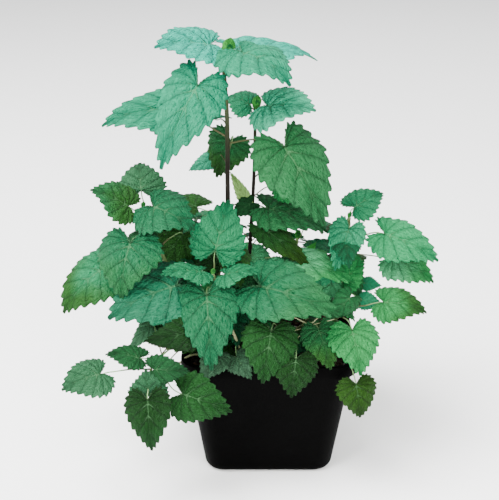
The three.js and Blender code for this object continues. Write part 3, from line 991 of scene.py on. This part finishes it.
for shoot, pairs in lower_pairs.items():
    for number, (height, heading, length, stalk_length) in enumerate(pairs):
        for turn in (0, 180):
            angle = math.radians(heading + turn + chance.uniform(-14, 14))
            out = Vector((math.cos(angle), math.sin(angle), 0))
            size = length * chance.uniform(0.85, 1.15) / 1000
            root = stem_place(shoot, height / 1000)
            base = root + out * stalk_length / 1000 + Vector((0, 0, stalk_length * 0.0006))
            tip = base + out * size * 0.92 - Vector((0, 0, size * chance.uniform(0.1, 0.5)))
            colour = chance.choice((grass, moss, fresh, sea))
            small_leaf(
                f"{shoot}_pair_{number + 1}_{turn // 180 + 1}", shoot, height / 1000, base, tip,
                size * chance.uniform(0.78, 0.92), colour, chance.randrange(10000),
                mesh=full_blade if length > 23 else small_blade
            )

# A bud of four cupped young leaves at the top of each stem.
bud_lengths = {
    "tall": 11, "second": 8, "centre": 4, "left": 4, "right": 4, "back_left": 6, "back_right": 6,
}
bud_leans = {"tall": (2.5, -5, -0.5), "second": (0.5, -2, -1)}
for shoot, length in bud_lengths.items():
    top = stem_lines[shoot][-1] + millimetres(*bud_leans.get(shoot, (0, 0, 0)))
    for number in range(4):
        angle = math.radians(number * 90 + 60)
        out = Vector((math.cos(angle), math.sin(angle), 0))
        size = length / 1000 * (0.7 if number % 2 else 1)
        base = top + out * size * 0.06
        tip = base + out * size * 0.02 + Vector((size * 0.12, 0, size * 0.9))
        small_leaf(
            f"{shoot}_bud_{number + 1}", shoot, stem_lines[shoot][-1].z, base, tip, size * 0.6,
            fresh if number % 2 else lime, 500 + number, folded=-0.1, arch=-0.26, mesh=bud_blade
        )


# ---- dry stalks ----
# Straw-coloured bits of old stalk: a few stand dead among the stems at the front
# and others lie on the soil.

straw = Finish("dry_straw", {"Roughness": 0.8, "Specular IOR Level": 0.15})
place = straw.place()
straw.colour(straw.mix(straw.noise(place, 160.0, 3.0), linear(96, 98, 62), linear(146, 152, 118)))
straw.bump(straw.noise(place, 1100.0), 0.0002)

# Places from the foot up, in millimetres, and the radius of each dead stalk.
dead_stalks = [
    ([(4, -30, 64), (13, -35, 82), (22, -37, 94), (31, -38, 104)], 0.32),
    ([(38, -28, 64), (33, -34, 82), (23, -37, 93), (11, -37, 100)], 0.3),
    ([(-4, -30, 64), (9, -35, 87), (20, -37, 93), (35, -38, 98)], 0.26),
    ([(-14, -34, 64), (-16, -37, 76), (-18, -38, 85), (-22, -36, 94)], 0.8),
    ([(-30, -32, 64), (-37, -34, 74), (-44, -36, 75), (-51, -38, 70)], 0.6),
]
for number, (line, radius) in enumerate(dead_stalks):
    points = [millimetres(*at) for at in line]
    stalk = tube(f"dead_stalk_{number + 1}", points, [radius / 1000] * len(points), sides=1)
    finish_piece(stalk, [straw])

chance = random.Random(8)
for number in range(9):
    x, y = on_rounded_square(*(chance.uniform(-0.8, 0.8) * soil_half for _ in range(2)))
    middle = Vector((x, y, soil_height(x, y) + 0.0004))
    angle = chance.uniform(0, math.tau)
    way = Vector((math.cos(angle), math.sin(angle), chance.uniform(-0.05, 0.15)))
    reach = way * chance.uniform(0.004, 0.009)
    bow = Vector((-reach.y, reach.x, 0)) * chance.uniform(-0.3, 0.3)
    radius = chance.uniform(0.00025, 0.0005)
    line = [middle - reach, middle + bow, middle + reach]
    finish_piece(tube(f"straw_{number + 1}", line, [radius] * 3, sides=1), [straw])


# ---- floor and light ----
# A plain pale floor, a large soft light above at the left, a weaker one at the
# front and a faint one above and behind.

bpy.ops.object.select_all(action="DESELECT")
bpy.ops.mesh.primitive_plane_add(size=30)
floor = start_piece("floor")
floor_paint = Finish("floor_paint", {"Roughness": 0.9, "Base Color": (0.95, 0.95, 0.945, 1)})
floor.data.materials.append(floor_paint.material)


def soft_light(name, place, size, power, colour):
    """A square lamp that faces the plant."""
    lamp = bpy.data.lights.new(name, "AREA")
    lamp.size = size
    lamp.energy = power
    lamp.color = colour
    light = bpy.data.objects.new(name, lamp)
    bpy.context.collection.objects.link(light)
    light.location = place
    light.rotation_euler = (Vector((0, 0, 0.12)) - light.location).to_track_quat("-Z", "Y").to_euler()


soft_light("key", Vector((-0.6, -0.4, 1.35)), 1.0, 96, (1.0, 1.0, 1.0))
soft_light("fill", Vector((0.4, -1.3, 0.75)), 1.2, 42, (1.0, 0.99, 0.96))
soft_light("back", Vector((0.5, 1.0, 1.6)), 1.4, 15, (1.0, 1.0, 1.0))
world = bpy.data.worlds.new("studio")
bpy.context.scene.world = world
world.use_nodes = True
world.node_tree.nodes["Background"].inputs["Color"].default_value = (0.98, 0.99, 1.0, 1)
world.node_tree.nodes["Background"].inputs["Strength"].default_value = 1.1
